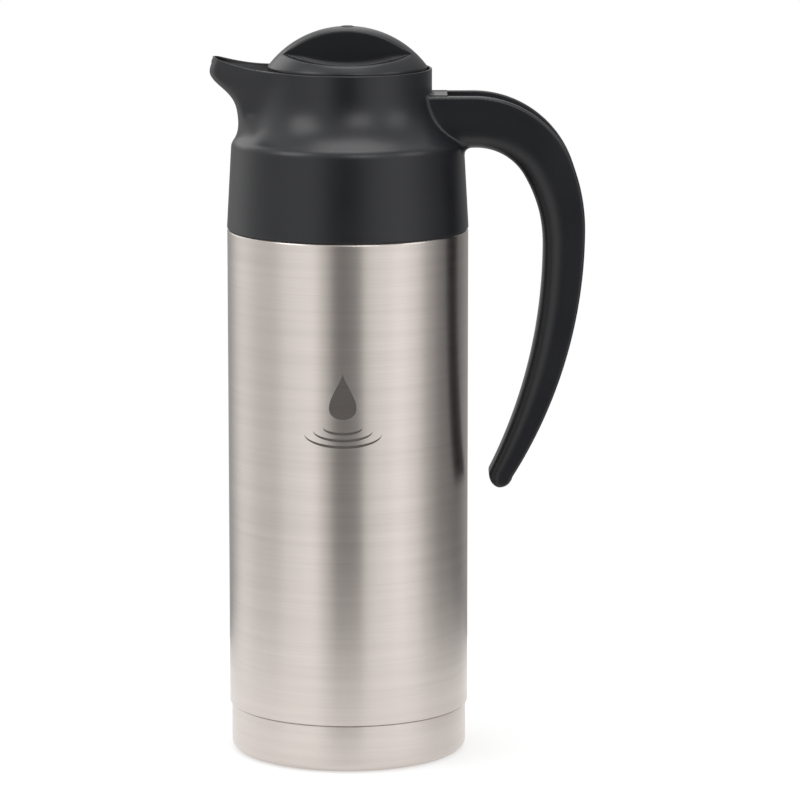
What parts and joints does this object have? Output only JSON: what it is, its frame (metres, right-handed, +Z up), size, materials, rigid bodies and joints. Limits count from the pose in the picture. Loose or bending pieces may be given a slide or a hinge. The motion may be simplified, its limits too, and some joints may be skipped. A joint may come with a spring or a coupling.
{
  "type": "insulated serving jug",
  "caption": "Vacuum-insulated steel serving jug with moulded collar, pour spout, open hook handle and twist stopper under a domed lid.",
  "frame": {"origin": "centre of the base on the surface the jug stands on", "axes": "+Z up along the jug's axis, -X towards the spout, +X towards the handle, Y across"},
  "size_m": [0.149, 0.0962, 0.2925],
  "materials": {
    "brushed_shell": "circumferentially brushed 18/8 stainless steel",
    "brushed_base": "circumferentially brushed 18/8 stainless steel",
    "liner_steel": "electropolished 18/8 stainless steel",
    "braze": "matt vacuum braze",
    "getter_alloy": "sintered metal pellet",
    "foam": "closed-cell foam",
    "base_silicone": "matt moulded silicone",
    "seal_silicone": "matt moulded silicone",
    "clear_silicone": "milky moulded silicone",
    "collar_plastic": "satin moulded polypropylene",
    "throat_plastic": "satin moulded polypropylene",
    "handle_plastic": "satin moulded polypropylene",
    "insert_plastic": "satin moulded polypropylene",
    "lid_plastic": "satin moulded polypropylene",
    "screw_steel": "zinc-plated self-tapping screws"
  },
  "bodies": {
    "vessel": {"outer_shell": "brushed_shell", "inner_liner": "liner_steel", "base_plate": "liner_steel", "evacuation_plug": "braze", "getter": "getter_alloy", "base_cup": "brushed_base", "base_cushion": "foam", "base_pad": "base_silicone", "collar": "collar_plastic", "collar_seal_ring": "seal_silicone", "mouth_gasket": "clear_silicone", "throat_sleeve": "throat_plastic", "handle": "handle_plastic", "handle_insert": "insert_plastic", "handle_screws": "screw_steel"},
    "stopper_seal": {"stopper_gasket": "clear_silicone"},
    "stopper": {"lid_cap": "lid_plastic", "stopper_body": "throat_plastic", "stopper_foam": "foam", "lid_sealing_ring": "seal_silicone"}
  },
  "joints": [
    {"name": "stopper_rise", "type": "slide", "parent": "vessel", "child": "stopper_seal", "axis": [0, 0, 1], "range_m": [0, 0.0601]},
    {"name": "stopper_turn", "type": "hinge", "parent": "stopper_seal", "child": "stopper", "pos_m": [0, 0, 0.262], "axis": [0, 0, 1], "range_deg": [0, 1800]}
  ],
  "couplings": [
    {"joint": "stopper_rise", "follows": "stopper_turn", "m_per_rad": 0.0019099}
  ]
}
